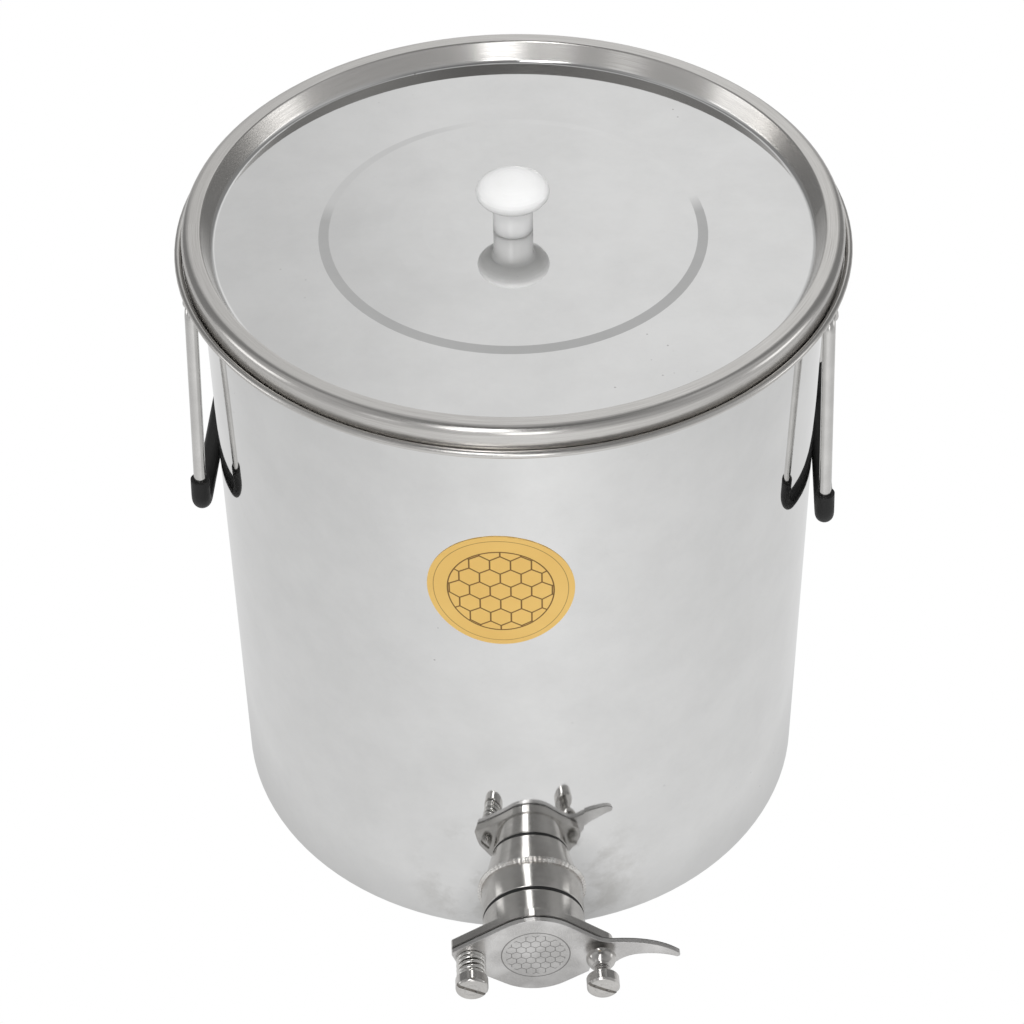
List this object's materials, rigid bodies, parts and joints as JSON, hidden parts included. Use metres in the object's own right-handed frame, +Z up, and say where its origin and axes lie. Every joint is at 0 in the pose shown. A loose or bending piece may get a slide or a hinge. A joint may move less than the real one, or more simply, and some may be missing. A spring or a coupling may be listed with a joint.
{
  "type": "honey settling tank",
  "caption": "Cylindrical stainless steel honey settling tank with a lift-off lid and round knob, hanging rod handles with rubber grips, and a swing-gate valve at the foot of the wall.",
  "frame": {"origin": "centre of the base's underside, on the tank's axis", "axes": "+Z up along the tank's axis; -Y along the outlet, towards the valve; +X to the right for someone who faces the valve"},
  "size_m": [0.348, 0.3996, 0.3978],
  "materials": {
    "polished_steel": "polished",
    "turned_steel": "satin",
    "satin_steel": "satin",
    "weld_steel": "satin",
    "spring_steel": "polished",
    "rod_steel": "satin",
    "gold_label": "satin",
    "white_plastic": "gloss",
    "grip_rubber": "satin",
    "gasket_rubber": "matt"
  },
  "bodies": {
    "tank": {"tank_wall": "polished_steel", "tank_bottom": "polished_steel", "badge": "gold_label", "outlet_socket": "turned_steel", "socket_weld": "weld_steel", "socket_gasket": "gasket_rubber", "valve_body": "turned_steel", "gate_seal": "gasket_rubber", "pivot_screw": "turned_steel", "pivot_spring": "spring_steel", "pivot_washer": "turned_steel", "bracket_left": "polished_steel", "bracket_right": "polished_steel"},
    "lid": {"lid_shell": "polished_steel", "lid_knob": "white_plastic", "knob_screw": "turned_steel", "knob_washer": "turned_steel"},
    "gate": {"gate_plate": "satin_steel"},
    "lock_carrier": {"lock_washer": "turned_steel"},
    "lock": {"lock_screw": "turned_steel"},
    "handle_left": {"bail_left": "rod_steel", "grip_left": "grip_rubber"},
    "handle_right": {"bail_right": "rod_steel", "grip_right": "grip_rubber"}
  },
  "joints": [
    {"name": "lid_lift", "type": "slide", "parent": "tank", "child": "lid", "axis": [0, 0, 1], "range_m": [0, 0.2]},
    {"name": "gate_swing", "type": "hinge", "parent": "tank", "child": "gate", "pos_m": [-0.0348, -0.2013, 0.0343], "axis": [0, -1, 0], "range_deg": [0, 90]},
    {"name": "lock_slide", "type": "slide", "parent": "tank", "child": "lock_carrier", "axis": [0, -1, 0], "range_m": [-0.00302, 0.00127]},
    {"name": "lock_turn", "type": "hinge", "parent": "lock_carrier", "child": "lock", "pos_m": [0.0348, -0.2013, 0.0343], "axis": [0, -1, 0], "range_deg": [-864, 360]},
    {"name": "handle_left_swing", "type": "hinge", "parent": "tank", "child": "handle_left", "pos_m": [-0.15848, 0.01387, 0.3525], "axis": [0.0872, 0.9962, 0], "range_deg": [0, 130]},
    {"name": "handle_right_swing", "type": "hinge", "parent": "tank", "child": "handle_right", "pos_m": [0.15848, -0.01387, 0.3525], "axis": [-0.0872, -0.9962, 0], "range_deg": [0, 130]}
  ],
  "couplings": [
    {"joint": "lock_slide", "follows": "lock_turn", "m_per_rad": 0.00019894}
  ]
}
